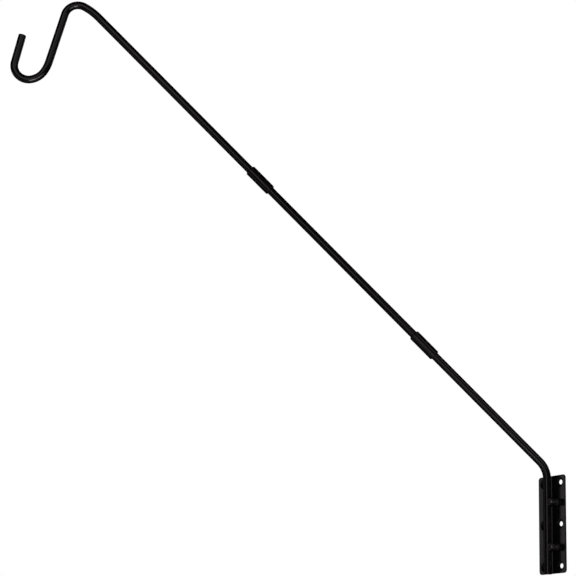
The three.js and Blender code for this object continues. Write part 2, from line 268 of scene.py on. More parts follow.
def rounded(corners: list[Pair], radii: list[float], steps: int = 4) -> Arrays:
    """An open profile with its inner corners rounded.

    With unit directions a and b from a corner to its neighbours and half the angle between them
    h, the arc's middle is on the bisector at radius / sin h, and the arc touches each side at
    radius / tan h from the corner. A point close outside each end of an arc keeps the faces
    beside it flat in shading.

    Args:
        corners: the profile's corners, its two ends included.
        radii: the radius at each inner corner.
        steps: facets in each arc.

    Returns:
        Points of the profile (k, 2), and 1 for those on an arc and 0 for the others.
    """
    points, radius = np.array(corners, float), np.array(radii, float)[:, None]
    middle = points[1:-1]
    sides = points[:-2] - middle, points[2:] - middle
    a, b = (unit(side) for side in sides)
    half = np.arccos(np.clip((a * b).sum(axis=1, keepdims=True), -1, 1)) / 2
    reach = radius / np.tan(half)
    centre = middle + unit(a + b) * radius / np.sin(half)
    sweep = math.pi - 2 * half
    share = np.linspace(0, 1, steps + 1)
    first, last = (np.sin(part * sweep)[..., None] / np.sin(sweep)[..., None] for part in (1 - share, share))
    start, end = middle + a * reach - centre, middle + b * reach - centre
    arcs = centre[:, None] + first * start[:, None] + last * end[:, None]
    before, after = (
        middle + way * (reach + np.minimum(GUARD, (np.linalg.norm(side, axis=1, keepdims=True) - reach) / 3))
        for way, side in zip((a, b), sides)
    )
    guarded = np.concatenate([before[:, None], arcs, after[:, None]], axis=1)
    edge = np.tile(np.pad(np.ones(steps + 1), 1), len(middle))
    return np.concatenate([points[:1], guarded.reshape(-1, 2), points[-1:]]), np.pad(edge, 1)


def edge_section(thickness: float, radius: float, steps: int = 4) -> Arrays:
    """Section of a sheet's rounded edge, from its front face round to its back one.

    Two quarter circles with the flat wall between them.

    Args:
        thickness: of the sheet.
        radius: of the roundings.
        steps: facets in each quarter.

    Returns:
        Steps outwards from where the roundings start, and depths behind the front face.
    """
    turn = np.linspace(0, QUARTER, steps + 1)
    out, depth = radius * np.sin(turn), radius * (1 - np.cos(turn))
    return np.concatenate([out, out[::-1]]), np.concatenate([depth, thickness - depth[::-1]])


def fringe(outline: np.ndarray, away: np.ndarray, out: np.ndarray) -> Arrays:
    """An edge's section carried round an outline, each point stepping out along its own normal.

    Args:
        outline: points of the outline (n, 2).
        away: a vector along the normal at each (n, 2).
        out: steps outwards (k,).

    Returns:
        The two coordinates of the points, each (n, k).
    """
    flat = outline[:, None] + unit(away)[:, None] * out[:, None]
    return flat[..., 0], flat[..., 1]


def pierced(reach: np.ndarray, hole: np.ndarray, hole_edge: np.ndarray) -> tuple[np.ndarray, ...]:
    """A patch of sheet round a hole, from its front border through the hole to its back border.

    On a face, a point's distance from the hole's middle goes evenly from the hole's rim to the
    patch's border in that direction. In the hole it follows the hole's own profile.

    Args:
        reach: distance from the hole's middle to the border, one for each direction.
        hole: radius and depth of the hole's profile (k, 2), from the front face to the back one.
        hole_edge: wear of each point of that profile.

    Returns:
        Distances from the middle (rows, columns), and each row's depth and wear (rows, 1).
    """
    share = np.array(FACE_SHARES)[:, None]
    front = hole[0, 0] + (reach - hole[0, 0]) * share
    back = hole[-1, 0] + (reach - hole[-1, 0]) * share[::-1]
    through = np.broadcast_to(hole[:, :1], (len(hole), len(reach)))
    return (
        np.concatenate([front, through, back]),
        np.concatenate([0 * share + hole[0, 1], hole[:, 1:], 0 * share + hole[-1, 1]]),
        np.concatenate([0 * share, hole_edge[:, None], 0 * share]),
    )


def placed(name: str, data: bpy.types.ID) -> bpy.types.Object:
    """A new object in the scene, for a mesh, a lamp or a camera.

    Args:
        name: the object's name.
        data: what it shows.

    Returns:
        The object, at the origin.
    """
    thing = bpy.data.objects.new(name, data)
    bpy.context.scene.collection.objects.link(thing)
    return thing


@dataclass
class Shell:
    """Grids of points that join up into one closed mesh."""

    points: list[np.ndarray] = field(default_factory=list)
    wear: list[np.ndarray] = field(default_factory=list)
    quads: list[np.ndarray] = field(default_factory=list)
    count: int = 0

    def grid(
        self, points: np.ndarray, wear: np.ndarray | float = 0.0, around: bool = False, closed: bool = False
    ) -> None:
        """Adds a grid as four-sided faces.

        Args:
            points: rows by columns by three, in millimetres.
            wear: edge wear, one number or one for each row or point.
            around: the last column joins the first.
            closed: the last row joins the first.
        """
        rows, columns = points.shape[:2]
        index = self.count + np.arange(rows * columns).reshape(rows, columns)
        if around:
            index = np.concatenate([index, index[:, :1]], axis=1)
        if closed:
            index = np.concatenate([index, index[:1]], axis=0)
        quads = np.stack([index[:-1, :-1], index[1:, :-1], index[1:, 1:], index[:-1, 1:]], axis=-1)
        self.points.append(points.reshape(-1, 3))
        self.wear.append(np.broadcast_to(wear, (rows, columns)).reshape(-1))
        self.quads.append(quads.reshape(-1, 4))
        self.count += rows * columns

    def build(self, name: str) -> bpy.types.Object:
        """Makes the object, in metres, with coincident points welded and its faces outwards.

        Args:
            name: name of the object and of its mesh.

        Returns:
            The object, without a material.
        """
        mesh = bpy.data.meshes.new(name)
        points, quads = np.concatenate(self.points) * MILLIMETRE, np.concatenate(self.quads)
        mesh.vertices.add(len(points))
        mesh.vertices.foreach_set("co", points.astype(np.float32).ravel())
        mesh.loops.add(quads.size)
        mesh.loops.foreach_set("vertex_index", quads.astype(np.int32).ravel())
        mesh.polygons.add(len(quads))
        mesh.polygons.foreach_set("loop_start", np.arange(0, quads.size, 4, dtype=np.int32))
        wear = mesh.attributes.new(WEAR, "FLOAT", "POINT")
        wear.data.foreach_set("value", np.concatenate(self.wear).astype(np.float32))
        mesh.update(calc_edges=True)
        joined = bmesh.new()
        joined.from_mesh(mesh)
        bmesh.ops.remove_doubles(joined, verts=joined.verts, dist=WELD)
        bmesh.ops.recalc_face_normals(joined, faces=joined.faces)
        loose = sum(not edge.is_manifold for edge in joined.edges)
        joined.to_mesh(mesh)
        joined.free()
        mesh.polygons.foreach_set("use_smooth", np.ones(len(mesh.polygons), bool))
        mesh.update()
        sizes = len(mesh.vertices), len(mesh.polygons), loose
        log.info("%s: %d points, %d faces, %d open edges", name, *sizes)
        return placed(name, mesh)


# ---------------------------------------------------------------------------- finishes


@dataclass(frozen=True)
class Finish:
    """A black finish on steel.

    Attributes:
        slot: the record's material slot.
        dark: colour of the film where it is thick, linear.
        light: colour where it is thin, linear.
        worn: colour of a rubbed edge, linear.
        gloss: lowest and highest roughness.
        ripple: width of one ripple of the film, in millimetres.
        ripple_height: its height, in millimetres.
        grain: width of one grain, in millimetres.
        grain_height: its height, in millimetres.
        metal: 0 for a film of paint, up to 1 for bare or blackened steel.
        film: weight of the clear top of the film.
        film_roughness: roughness of that top.
        colour_drift: width of the slow drift of its colour, in millimetres.
        gloss_drift: width of the slow drift of its roughness, in millimetres.
        chip: width of one rubbed spot on an edge, in millimetres.
        rubbed: greatest share of the worn colour there.
        polish: how much smoother a rubbed spot is.
    """

    slot: str
    dark: Triple
    light: Triple
    worn: Triple
    gloss: Pair
    ripple: float
    ripple_height: float
    grain: float
    grain_height: float
    metal: float = 0.0
    film: float = 0.0
    film_roughness: float = 0.2
    colour_drift: float = 55.0
    gloss_drift: float = 21.0
    chip: float = 2.4
    rubbed: float = 0.8
    polish: float = 0.08


BAR_COAT = Finish(
    slot="bar_paint",
    dark=(0.0034, 0.003, 0.0031),
    light=(0.0058, 0.0052, 0.0053),
    worn=(0.02, 0.0195, 0.0195),
    gloss=(0.16, 0.23),
    ripple=2.6,
    ripple_height=0.008,
    grain=0.28,
    grain_height=0.0015,
    film=0.1,
    film_roughness=0.16,
)
SLEEVE_COAT = Finish(
    slot="sleeve_paint",
    dark=(0.0032, 0.0028, 0.003),
    light=(0.0055, 0.0048, 0.0051),
    worn=(0.022, 0.021, 0.0215),
    gloss=(0.19, 0.26),
    ripple=2.2,
    ripple_height=0.007,
    grain=0.25,
    grain_height=0.0015,
    film=0.08,
)
BRACKET_COAT = Finish(
    slot="bracket_paint",
    dark=(0.0032, 0.0027, 0.0029),
    light=(0.0054, 0.0047, 0.005),
    worn=(0.02, 0.019, 0.0192),
    gloss=(0.17, 0.24),
    ripple=3.0,
    ripple_height=0.008,
    grain=0.3,
    grain_height=0.002,
    film=0.08,
    film_roughness=0.18,
)
BLACK_STEEL = Finish(
    slot="fastener_steel",
    dark=(0.045, 0.043, 0.0435),
    light=(0.075, 0.072, 0.0725),
    worn=(0.12, 0.118, 0.118),
    gloss=(0.2, 0.3),
    ripple=1.2,
    ripple_height=0.004,
    grain=0.12,
    grain_height=0.001,
    metal=0.75,
)


class NodeGraph:
    """The nodes of a material or of the world, added and joined by short calls."""

    def __init__(
        self, owner: bpy.types.Material | bpy.types.World, output: str = "ShaderNodeOutputMaterial"
    ) -> None:
        """Clears the owner's nodes and adds its output.

        Args:
            owner: whose nodes these are.
            output: Blender type of the output node.
        """
        owner.use_nodes = True
        self.tree = owner.node_tree
        self.tree.nodes.clear()
        self.output = self.tree.nodes.new(output)

    def add(
        self, kind: str, inputs: dict[str | int, object] | None = None, **options: object
    ) -> bpy.types.Node:
        """Adds a node.

        Args:
            kind: the node's Blender type.
            inputs: for each named or numbered input, a number, a colour as three linear numbers,
                or another node's output to link to it.
            options: settings of the node itself.

        Returns:
            The new node.
        """
        node = self.tree.nodes.new(kind)
        for option, value in options.items():
            setattr(node, option, value)
        for socket, value in (inputs or {}).items():
            if isinstance(value, bpy.types.NodeSocket):
                self.tree.links.new(value, node.inputs[socket])
            else:
                node.inputs[socket].default_value = (*value, 1.0) if isinstance(value, tuple) else value
        return node

    def finish(self, kind: str, inputs: dict[str | int, object]) -> None:
        """Adds the last shader, as add does, and joins it to the output."""
        self.tree.links.new(self.add(kind, inputs).outputs[0], self.output.inputs["Surface"])

    def compute(self, operation: str, *values: object) -> bpy.types.NodeSocket:
        """The result of a Math node."""
        return self.add("ShaderNodeMath", dict(enumerate(values)), operation=operation).outputs[0]

    def noise(self, place: bpy.types.NodeSocket, width: float, detail: float) -> bpy.types.NodeSocket:
        """Noise whose lumps are about that many millimetres wide, in object space."""
        inputs = {"Vector": place, "Scale": 1 / (width * MILLIMETRE), "Detail": detail}
        return self.add("ShaderNodeTexNoise", inputs).outputs["Fac"]

    def spread(self, value: bpy.types.NodeSocket, low: float, high: float) -> bpy.types.NodeSocket:
        """The middle part of a noise, 0.3 to 0.7, spread over a range."""
        limits = {"Value": value, "From Min": 0.3, "From Max": 0.7, "To Min": low, "To Max": high}
        return self.add("ShaderNodeMapRange", limits).outputs["Result"]

    def mix(self, share: bpy.types.NodeSocket, a: object, b: object) -> bpy.types.NodeSocket:
        """Colour a turning into colour b as the share goes from 0 to 1."""
        return self.add("ShaderNodeMix", {0: share, 6: a, 7: b}, data_type="RGBA").outputs[2]

    def relief(
        self, height: bpy.types.NodeSocket, rise: float, under: dict[str, bpy.types.NodeSocket] | None = None
    ) -> dict[str, bpy.types.NodeSocket]:
        """Relief from a noise, laid over another one.

        Args:
            height: the noise.
            rise: its height in millimetres.
            under: the relief below, as this method returns it.

        Returns:
            The input that it sets on a shader.
        """
        inputs = {"Strength": 1.0, "Distance": rise * MILLIMETRE, "Height": height, **(under or {})}
        return {"Normal": self.add("ShaderNodeBump", inputs).outputs[0]}


@cache
def material_of(finish: Finish) -> bpy.types.Material:
    """The material of a finish.

    Colour drifts between the film's thin and thick tones over some centimetres, with a fine
    speckle. Roughness drifts on its own pattern. The relief is a broad ripple with a fine grain
    on it. Where the wear attribute is high, a broken-up share of the edge shows the rubbed tone
    and is smoother.

    Args:
        finish: the finish to build.

    Returns:
        A material that every piece with this finish shares.
    """
    material = bpy.data.materials.new(finish.slot)
    graph = NodeGraph(material)
    place = graph.add("ShaderNodeTexCoord").outputs["Object"]
    drift = graph.spread(graph.noise(place, finish.colour_drift, 3), 0, 1)
    speckle = graph.spread(graph.noise(place, 2 * finish.grain, 2), 0, 1)
    tone = graph.compute("MULTIPLY", graph.compute("ADD", drift, speckle), 0.5)
    worn = graph.add("ShaderNodeAttribute", attribute_name=WEAR).outputs["Fac"]
    broken = graph.spread(graph.noise(place, finish.chip, 4), 0, finish.rubbed)
    rubbed = graph.compute("MULTIPLY", worn, broken)
    sheen = graph.spread(graph.noise(place, finish.gloss_drift, 4), *finish.gloss)
    ripple = graph.relief(graph.noise(place, finish.ripple, 1), finish.ripple_height)
    surface = {
        "Base Color": graph.mix(rubbed, graph.mix(tone, finish.dark, finish.light), finish.worn),
        "Roughness": graph.compute("MULTIPLY_ADD", rubbed, -finish.polish, sheen),
        "Metallic": finish.metal,
        "Coat Weight": finish.film,
        "Coat Roughness": finish.film_roughness,
        **graph.relief(graph.noise(place, finish.grain, 2), finish.grain_height, ripple),
    }
    graph.finish("ShaderNodeBsdfPrincipled", surface)
    return material


def dress(shell: Shell, name: str, node: str, body: str, finish: Finish) -> bpy.types.Object:
    """Turns a shell into a piece of the object.

    Args:
        shell: the surfaces.
        name: the piece's name.
        node: the CAD node that it stands for.
        body: the body that it rides on.
        finish: its finish.

    Returns:
        The finished piece.
    """
    piece = shell.build(name)
    piece.data.materials.append(material_of(finish))
    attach(piece, body)
    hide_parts(node)
    return piece


# ---------------------------------------------------------------------------- threads and rings


@dataclass(frozen=True)
class Thread:
    """A screw thread, right-handed, with its crests and roots cut flat.

    Attributes:
        crest: outer radius.
        depth: from crest to root.
        pitch: advance in one turn.
        flat: share of the height that the flats take at crest and root.
    """

    crest: float
    depth: float
    pitch: float
    flat: float = 0.125

    def cut(self, distance: np.ndarray, angle: np.ndarray, cover: np.ndarray) -> np.ndarray:
        """How far the surface lies inside the crest.

        A triangle wave of distance / pitch - angle / turn, clipped flat at both ends, times the
        cover, which fades the thread in and out.

        Args:
            distance: places along the axis.
            angle: directions about it.
            cover: depth of the cut at each place, from 0 to 1.

        Returns:
            Depths, in the shape that the three have together.
        """
        phase = (distance / self.pitch - angle / TURN) % 1.0
        wave = np.abs(2 * phase - 1)
        return self.depth * cover * np.clip((wave - self.flat) / (1 - 2 * self.flat), 0, 1)


@dataclass(frozen=True)
class Rings:
    """Rings round a line, in arrays with a row for each ring and one or more columns.

    Attributes:
        distance: place along the line.
        radius: distance from the line.
        edge: edge wear.
        cover: depth of the thread's cut, from 0 to 1.
    """

    distance: np.ndarray
    radius: np.ndarray
    edge: np.ndarray
    cover: np.ndarray

    @classmethod
    def of(cls, *values: np.ndarray | float) -> "Rings":
        """Rings from the four values as arrays or numbers, brought to the shape they have together."""
        return cls(*np.broadcast_arrays(*values))

    @classmethod
    def plain(
        cls, points: np.ndarray, edge: np.ndarray | float = 0.0, outline: np.ndarray | float = 1.0
    ) -> "Rings":
        """Rings without thread.

        Args:
            points: distance and radius of each ring (k, 2).
            edge: edge wear of each.
            outline: number for each column that the radius is multiplied by.

        Returns:
            The rings, one column wide or as wide as the outline.
        """
        wear = np.broadcast_to(edge, len(points))[:, None]
        return cls.of(points[:, :1], points[:, 1:] * outline, wear, 0.0)

    @classmethod
    def threaded(
        cls, thread: Thread, start: float, end: float, spare: float = 0.0, per_turn: int = 10
    ) -> "Rings":
        """Rings of a threaded length, on which the thread fades in over one pitch from either end.

        Args:
            thread: the thread.
            start: distance where it starts.
            end: distance where it ends, which may be the lesser one.
            spare: clearance that widens the crests of an inner thread.
            per_turn: rings in each turn.

        Returns:
            The rings, from start to end.
        """
        count = math.ceil(abs(end - start) / thread.pitch * per_turn)
        distance = np.linspace(start, end, count + 1)[:, None]
        room = np.minimum(np.abs(distance - start), np.abs(distance - end))
        return cls.of(distance, thread.crest + spare, 0.0, np.clip(room / thread.pitch, 0, 1))

    @classmethod
    def joined(cls, *parts: "Rings") -> "Rings":
        """All the rings of several runs, in order, with as many columns as the widest.

        Args:
            parts: the runs.

        Returns:
            The rings.
        """
        columns = max(part.radius.shape[1] for part in parts)
        merged = (
            [np.broadcast_to(getattr(part, item.name), (len(part.radius), columns)) for part in parts]
            for item in fields(cls)
        )
        return cls(*map(np.concatenate, merged))

    def moved(self, start: float, way: int = 1) -> "Rings":
        """The same rings from a start onwards, or with way -1 back from it and in reverse order."""
        distance, *others = (getattr(self, item.name)[::way] for item in fields(self))
        return Rings(start + way * distance, *others)

    def turned(
        self,
        plane: Plane,
        line: CentreLine,
        thread: Thread,
        angle: np.ndarray,
        zero: float = 0.0,
        closed: bool = False,
    ) -> Shell:
        """The surface through the rings, carried along a line with the thread cut into it.

        Args:
            plane: the line's plane.
            line: the line that the rings go round.
            thread: the thread that their cover stands for.
            angle: directions of the columns, from the line's left.
            zero: distance on the line where the thread's phase is 0.
            closed: the last ring joins the first.

        Returns:
            The closed surface.
        """
        radius = self.radius - thread.cut(self.distance - zero, angle, self.cover)
        shell = Shell()
        points = plane.carried(line, self.distance, radius * np.cos(angle), radius * np.sin(angle))
        shell.grid(points, self.edge, around=True, closed=closed)
        return shell


# ---------------------------------------------------------------------------- arm


@dataclass(frozen=True)
class Arm:
    """The arm: three sections of round bar, screwed together in two sleeves."""

    body: str = "arm"
    swing: float = 31.3  # degrees from square to the wall, towards -X
    rise: float = 45.0  # degrees from level
    elbow_z: float = PLATE_HEIGHT / 2 + 10.6  # height of the elbow's corner
    elbow_radius: float = 38.0
    foot_z: float = -PLATE_HEIGHT / 2 - 1.2  # height of the bar's lower end
    lower_sleeve: float = 272.8  # along the arm, from the elbow's corner
    upper_sleeve: float = 272.8 + 374.4
    crown_start: float = 272.8 + 374.4 + 381.2
    crown_lead: Pair = (100.0, -16.8)  # radius and degrees, as for each bend of the hook
    crown: Pair = (21.9, -102.8)
    shank: float = 85.2
    bowl_lead: Pair = (60.5, 17.0)
    bowl: Pair = (31.7, 43.5)
    throat: Pair = (23.9, 116.9)
    tip: float = 47.6
    end_chamfer: float = 0.7
    end_rounding: float = 0.45
    sides: int = 96  # columns round a bar or a sleeve
    ring_room: float = 1.0  # least distance from the rings of a bar's end to the others
    thread: Thread = Thread(crest=4.8, depth=0.6, pitch=1.5)
    thread_chamfer: float = 0.8
    shoulder_rounding: float = 0.3
    sleeve_radius: float = 8.65
    sleeve_length: float = 47.5
    sleeve_chamfer: float = 1.4
    sleeve_rounding: float = 0.5
    mouth_rounding: float = 0.15
    fine_rounding: float = 0.2  # of the other small corners on spigots and sleeves
    socket_depth: float = 6.0  # how far the full bar goes into a sleeve
    bore_lead: float = 1.0  # plain bore before the thread starts
    middle_gap: float = 1.0  # between the two spigots in a sleeve

    @property
    def plane(self) -> Plane:
        """The arm's upright plane, its first direction outwards and its second up."""
        turn = math.radians(self.swing)
        return Plane((0, BAR_Y, 0), (-math.sin(turn), -math.cos(turn), 0), (0, 0, 1))

    def on_arm(self, distance: float) -> CentreLine:
        """A line that starts on the arm's straight, at a distance from the elbow's corner."""
        turn = math.radians(self.rise)
        return CentreLine((distance * math.cos(turn), self.elbow_z + distance * math.sin(turn)), turn)

    def bar_end(self, end: BarEnd) -> Rings:
        """Rings from the middle of a bar's end face to its full width.

        Args:
            end: chamfered, or turned down to a threaded spigot.

        Returns:
            Rings counted from the end face.
        """
        if end is BarEnd.CHAMFERED:
            cut = self.end_chamfer
            corners = [(0, 0), (0, BAR_RADIUS - cut), (cut, BAR_RADIUS), (4 * cut, BAR_RADIUS)]
            return Rings.plain(*rounded(corners, [self.end_rounding] * 2))
        crest, cut = self.thread.crest, self.thread_chamfer
        length = self.sleeve_length / 2 - self.socket_depth - self.middle_gap / 2 + SEAT_GAP
        nose = [(0, 0), (0, crest - cut), (cut, crest), (2 * cut, crest)]
        shoulder = [(length - cut, crest), (length, crest), (length, BAR_RADIUS), (length + cut, BAR_RADIUS)]
        return Rings.joined(
            Rings.plain(*rounded(nose, [self.fine_rounding] * 2)),
            Rings.threaded(self.thread, 2 * cut, length - cut),
            Rings.plain(*rounded(shoulder, [self.shoulder_rounding] * 2)),
        )

    def bar(self, line: CentreLine, start: BarEnd, end: BarEnd, arm_zero: float) -> Shell:
        """A bar section.

        A circle is carried along the centre line. Its radius follows the end profiles and, on a
        spigot, the thread.

        Args:
            line: centre line in the arm's plane.
            start: how it starts.
            end: how it ends.
            arm_zero: distance on the line where the elbow's corner is or would be, so that all
                threads on the arm are in step with those in the sleeves.

        Returns:
            The closed surface.
        """
        first, last = self.bar_end(start), self.bar_end(end).moved(line.length, -1)
        marks = line.stations()[:, None]
        inside = (marks > first.distance[-1] + self.ring_room) & (marks < last.distance[0] - self.ring_room)
        rings = Rings.joined(first, Rings.of(marks[inside][:, None], BAR_RADIUS, 0.0, 0.0), last)
        return rings.turned(self.plane, line, self.thread, even_angles(self.sides), arm_zero)

    def base_bar(self) -> Shell:
        """From the foot below the plate, up through both clamps and round the elbow to the lower sleeve.

        Returns:
            The closed surface.
        """
        lean = math.radians(90 - self.rise)
        corner = self.elbow_radius * math.tan(lean / 2)
        line = (
            CentreLine((0, self.foot_z), QUARTER)
            .straight(self.elbow_z - self.foot_z - corner)
            .bend(self.elbow_radius, self.rise - 90)
            .straight(self.lower_sleeve - self.middle_gap / 2 - corner)
        )
        zero = line.length - self.lower_sleeve + self.middle_gap / 2
        return self.bar(line, BarEnd.CHAMFERED, BarEnd.THREADED, zero)

    def middle_bar(self) -> Shell:
        """The straight section between the two sleeves.

        Returns:
            The closed surface.
        """
        start = self.lower_sleeve + self.middle_gap / 2
        line = self.on_arm(start).straight(self.upper_sleeve - self.lower_sleeve - self.middle_gap)
        return self.bar(line, BarEnd.THREADED, BarEnd.THREADED, -start)

    def hook_bar(self) -> Shell:
        """From the upper sleeve over the crown, down the shank and round the bowl to the tip.

        Returns:
            The closed surface.
        """
        start = self.upper_sleeve + self.middle_gap / 2
        line = self.on_arm(start).straight(self.crown_start - start)
        line = line.bend(*self.crown_lead).bend(*self.crown).straight(self.shank)
        line = line.bend(*self.bowl_lead).bend(*self.bowl).bend(*self.throat).straight(self.tip)
        return self.bar(line, BarEnd.THREADED, BarEnd.CHAMFERED, -start)

    def sleeve(self, middle: float) -> Shell:
        """A round sleeve, with a socket for the full bar at each end and a threaded bore.

        A closed profile, the same on both sides of the middle, turned about the arm's line. The
        thread in the bore is the spigots' own, one clearance wider.

        Args:
            middle: distance of its middle from the elbow's corner.

        Returns:
            The closed surface.
        """
        half, radius, chamfer = self.sleeve_length / 2, self.sleeve_radius, self.sleeve_chamfer
        socket, bore = BAR_RADIUS + CLEARANCE, self.thread.crest + CLEARANCE
        floor = half - self.socket_depth
        side = [
            (floor - self.bore_lead, bore),
            (floor, bore),
            (floor, socket),
            (half, socket),
            (half, radius - chamfer),
            (half - chamfer, radius),
        ]
        fine = self.fine_rounding
        radii = [fine, fine, self.mouth_rounding, fine, self.sleeve_rounding]
        corners = [(middle - step, width) for step, width in side]
        corners += [(middle + step, width) for step, width in side[::-1]]
        rings = Rings.joined(
            Rings.plain(*rounded(corners, radii + radii[::-1])),
            Rings.threaded(self.thread, corners[-1][0], corners[0][0], CLEARANCE),
        )
        line = self.on_arm(0).straight(self.crown_start)
        return rings.turned(self.plane, line, self.thread, even_angles(self.sides), closed=True)

    def build(self) -> list[bpy.types.Object]:
        """Makes and dresses the arm's five pieces.

        Returns:
            The pieces.
        """
        return [
            dress(self.base_bar(), "base_bar", "base_rod", self.body, BAR_COAT),
            dress(self.middle_bar(), "middle_bar", "middle_rod", self.body, BAR_COAT),
            dress(self.hook_bar(), "hook_bar", "hook_rod", self.body, BAR_COAT),
            dress(self.sleeve(self.lower_sleeve), "lower_sleeve", "lower_coupling", self.body, SLEEVE_COAT),
            dress(self.sleeve(self.upper_sleeve), "upper_sleeve", "upper_coupling", self.body, SLEEVE_COAT),
        ]


# ---------------------------------------------------------------------------- plate


@dataclass(frozen=True)
class MountingPlate:
    """The flat plate that is screwed to the wall, with two columns of three countersunk holes."""

    body: str = "bracket"
    width: float = 63.5
    height: float = PLATE_HEIGHT
    thickness: float = PLATE_THICKNESS
    corner_radius: float = 5.0
    hole_radius: float = 3.75
    sink_radius: float = 7.5
    land: float = 0.5  # straight wall behind the countersink
    side_margin: float = 11.75  # from a side of the plate to a hole's middle
    end_margin: float = 11.2  # the same from its upper or lower end
    edge_rounding: float = 0.45
    sink_rounding: float = 0.3
    hole_rounding: float = 0.15
    front_ring: float = 0.6  # flat ring round the countersink, where the front face starts
    back_ring: float = 0.5  # the same round the hole, on the back
    directions: int = 72  # rays from a hole's middle

    @property
    def half(self) -> np.ndarray:
        """Half the width and half the height."""
        return np.array([self.width, self.height]) / 2

    @property
    def inner(self) -> np.ndarray:
        """The middle of the upper right corner's arc."""
        return self.half - self.corner_radius

    def outwards(self, points: np.ndarray) -> np.ndarray:
        """Steps to points from the nearest place in the rectangle between the corners' middles."""
        return points - np.clip(points, -self.inner, self.inner)

    def cell(self, side: int, row: Row) -> tuple[np.ndarray, ...]:
        """The part of the plate's face that goes with one hole.

        The border is the first of the cell's straight sides that a ray from the hole's middle
        meets, or in the plate's corner the corner's arc: with b the ray's advance to the arc's
        middle k, the arc is at b + sqrt(b squared - |hole - k| squared + radius squared).

        Args:
            side: -1 for the left column and 1 for the right.
            row: row of the hole.

        Returns:
            The hole's middle (2,), ray angles (n,) and distances to the border (n,).
        """
        level, limit = row.value, self.half - self.edge_rounding
        hole = (self.half - (self.side_margin, self.end_margin)) * (side, level)
        between = (self.half[1] - self.end_margin) / 2
        levels = (-limit[1], -between, between, limit[1])
        low = np.array([min(0, side * limit[0]), levels[level + 1]])
        high = np.array([max(0, side * limit[0]), levels[level + 2]])
        marks = list(product((low[0], high[0]), (low[1], high[1])))
        if row is not Row.MIDDLE:
            marks += [(side * limit[0], level * self.inner[1]), (side * self.inner[0], level * limit[1])]
        exact = np.array(marks) - hole
        angle = np.concatenate([even_angles(self.directions), np.arctan2(exact[:, 1], exact[:, 0]) % TURN])
        angle = np.unique(angle.round(ANGLE_DIGITS))
        ray = np.stack([np.cos(angle), np.sin(angle)], axis=-1)
        to_sides = np.where(ray > 0, high - hole, low - hole) / np.where(ray == 0, np.nan, ray)
        reach = np.nanmin(to_sides, axis=1)
        cornered = (np.abs(hole + ray * reach[:, None]) > self.inner + NEAR).all(axis=1)
        to_middle = self.inner * (side, level) - hole
        advance = ray @ to_middle
        root = advance**2 - to_middle @ to_middle + (self.corner_radius - self.edge_rounding) ** 2
        return hole, angle, np.where(cornered, advance + np.sqrt(np.maximum(root, 0)), reach)

    def shell(self) -> Shell:
        """The plate: six pierced patches and the rounded edge round them all.

        Returns:
            The closed surface.
        """
        hole, hole_edge = rounded(
            [
                (self.sink_radius + self.front_ring, 0),
                (self.sink_radius, 0),
                (self.hole_radius, self.thickness - self.land),
                (self.hole_radius, self.thickness),
                (self.hole_radius + self.back_ring, self.thickness),
            ],
            [self.sink_rounding, self.hole_rounding, self.hole_rounding],
        )
        shell, rim = Shell(), []
        for side, row in product((-1, 1), Row):
            middle, angle, reach = self.cell(side, row)
            radius, depth, wear = pierced(reach, hole, hole_edge)
            x, z = middle[0] + radius * np.cos(angle), middle[1] + radius * np.sin(angle)
            shell.grid(WALL.points(x, z, self.thickness - depth), wear, around=True)
            border = np.stack([x[0], z[0]], axis=-1)
            off = np.linalg.norm(self.outwards(border), axis=1)
            rim.append(border[off > self.corner_radius - self.edge_rounding - NEAR])
        outline = np.concatenate(rim)
        outline = outline[np.argsort(np.arctan2(outline[:, 1], outline[:, 0]))]
        outline = outline[np.linalg.norm(outline - np.roll(outline, 1, axis=0), axis=1) > NEAR]
        out, depth = edge_section(self.thickness, self.edge_rounding)
        x, z = fringe(outline, self.outwards(outline), out)
        shell.grid(WALL.points(x, z, self.thickness - depth), 1.0, closed=True)
        return shell

    def build(self) -> list[bpy.types.Object]:
        """Makes and dresses the plate."""
        return [dress(self.shell(), "plate", "mounting_plate", self.body, BRACKET_COAT)]


# ---------------------------------------------------------------------------- clamps


